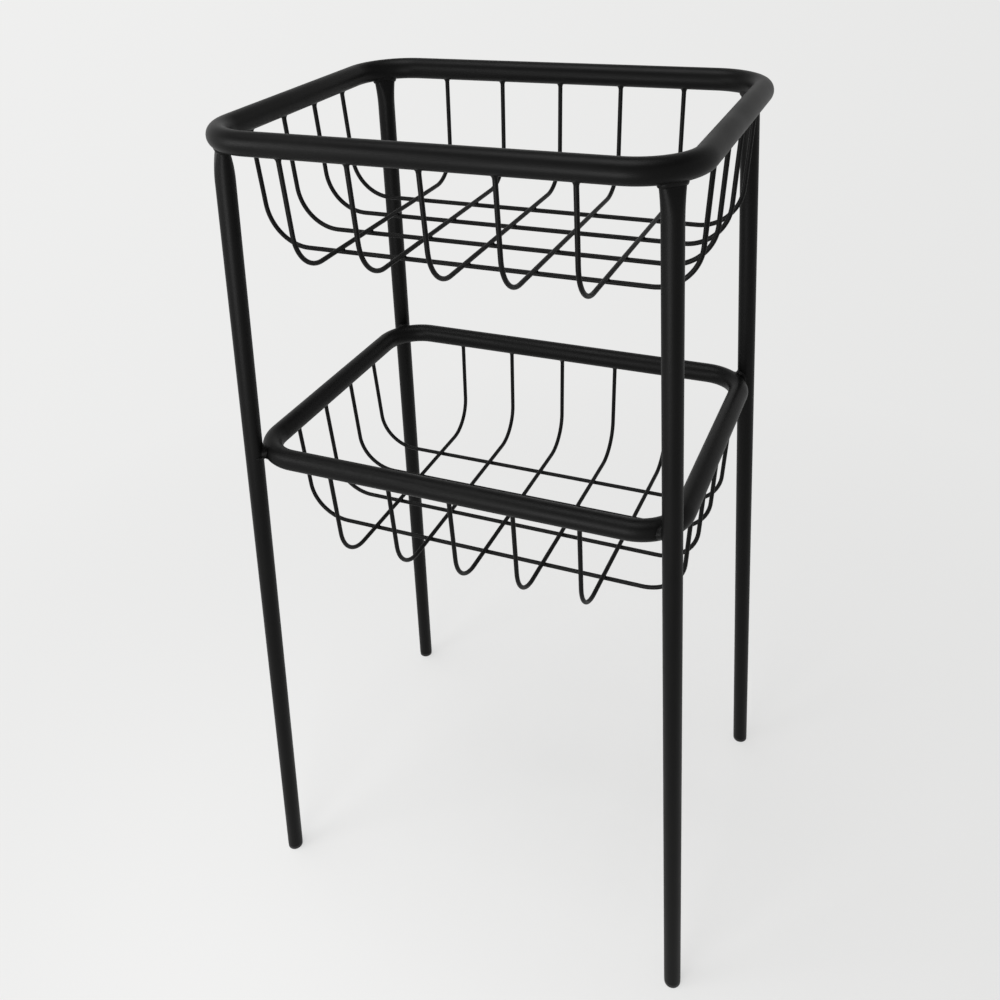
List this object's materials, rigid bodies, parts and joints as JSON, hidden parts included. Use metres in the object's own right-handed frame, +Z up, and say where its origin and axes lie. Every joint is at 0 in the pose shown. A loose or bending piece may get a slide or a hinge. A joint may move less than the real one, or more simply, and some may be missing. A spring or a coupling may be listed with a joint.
{
  "type": "floor fruit stand",
  "caption": "Free-standing two-tier wire fruit stand: rounded rectangular tube rims, U-shaped basket wires and splayed tube legs with foot plugs, in black coated steel.",
  "frame": {"origin": "on the floor, in the middle of the four feet, at the bottom centre of the bounding box", "axes": "+Z up, +X to the right along the long front side, +Y from the front to the back"},
  "size_m": [0.3678, 0.2828, 0.65],
  "materials": {
    "powder_coat": "satin black powder coat",
    "foot_plastic": "matt black moulded plastic"
  },
  "bodies": {
    "root": {"top_rim": "powder_coat", "lower_rim": "powder_coat", "leg_front_left": "powder_coat", "leg_front_right": "powder_coat", "leg_back_left": "powder_coat", "leg_back_right": "powder_coat", "foot_plug_front_left": "foot_plastic", "foot_plug_front_right": "foot_plastic", "foot_plug_back_left": "foot_plastic", "foot_plug_back_right": "foot_plastic", "top_cross_wire_1": "powder_coat", "top_cross_wire_2": "powder_coat", "top_cross_wire_3": "powder_coat", "top_cross_wire_4": "powder_coat", "top_cross_wire_5": "powder_coat", "top_long_wire_1": "powder_coat", "top_long_wire_2": "powder_coat", "top_long_wire_3": "powder_coat", "top_long_wire_4": "powder_coat", "lower_cross_wire_1": "powder_coat", "lower_cross_wire_2": "powder_coat", "lower_cross_wire_3": "powder_coat", "lower_cross_wire_4": "powder_coat", "lower_cross_wire_5": "powder_coat", "lower_long_wire_1": "powder_coat", "lower_long_wire_2": "powder_coat", "lower_long_wire_3": "powder_coat", "lower_long_wire_4": "powder_coat"}
  },
  "joints": []
}
